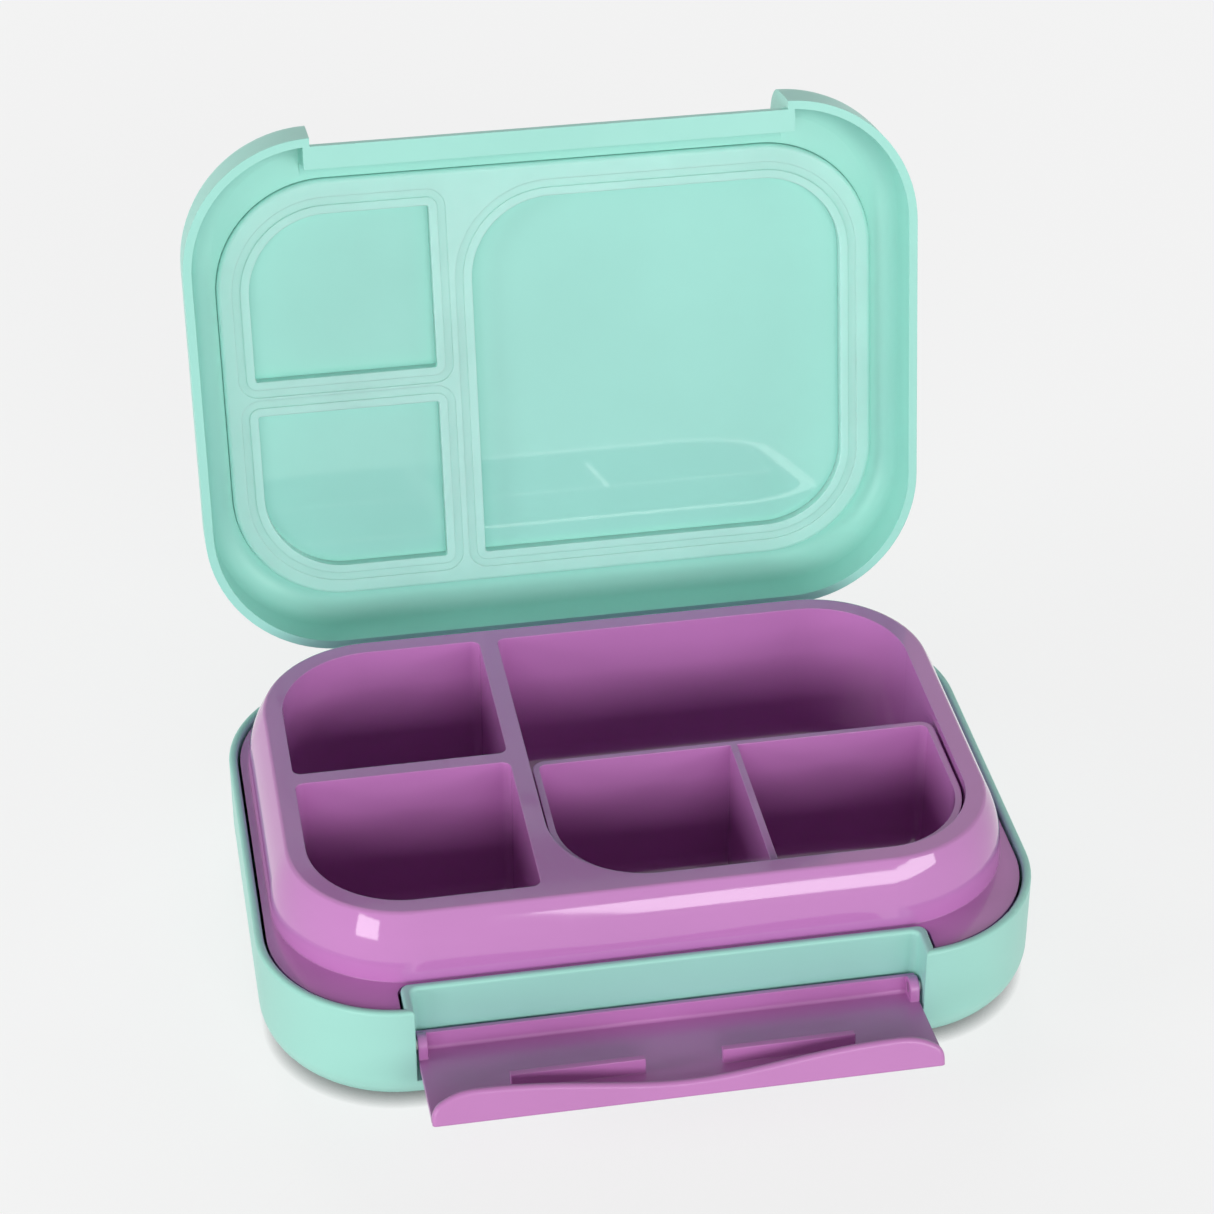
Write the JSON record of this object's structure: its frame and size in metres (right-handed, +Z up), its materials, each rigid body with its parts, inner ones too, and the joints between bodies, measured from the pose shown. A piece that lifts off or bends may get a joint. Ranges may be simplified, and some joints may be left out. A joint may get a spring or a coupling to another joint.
{
  "type": "lunch box",
  "caption": "Flat lunch box standing open: rounded tub with a lift-out compartment tray, divided portion cup, hinged lid with ribbed inner seal, and a wide front latch.",
  "frame": {"origin": "on the flat underside of the tub, below the middle of the tray compartments", "axes": "+X along the long side, +Y from the latch to the lid hinge, +Z up from the table"},
  "size_m": [0.215, 0.2397, 0.1937],
  "materials": {
    "mint_satin": "satin moulded plastic, mint green",
    "mint_gloss": "polished moulded plastic, mint green",
    "purple_gloss": "polished moulded plastic, orchid purple",
    "purple_satin": "satin moulded plastic, orchid purple",
    "clear_silicone": "frosted translucent silicone over mint plastic",
    "pin_steel": "plain drawn wire"
  },
  "bodies": {
    "base": {"base_shell": "mint_satin", "food_tray": "purple_gloss", "portion_cup": "purple_gloss", "lid_hinge_pins": "pin_steel"},
    "lid": {"lid_shell": "mint_satin", "lid_inner_panel": "mint_gloss", "lid_seal": "clear_silicone"},
    "latch": {"front_latch": "purple_satin", "latch_pins": "pin_steel"}
  },
  "joints": [
    {"name": "lid_hinge", "type": "hinge", "parent": "base", "child": "lid", "pos_m": [0, 0.0792, 0.0344], "axis": [1, 0, 0], "range_deg": [0, 100.6]},
    {"name": "latch_hinge", "type": "hinge", "parent": "base", "child": "latch", "pos_m": [0, -0.078, 0.0183], "axis": [-1, 0, 0], "range_deg": [0, 84]}
  ]
}
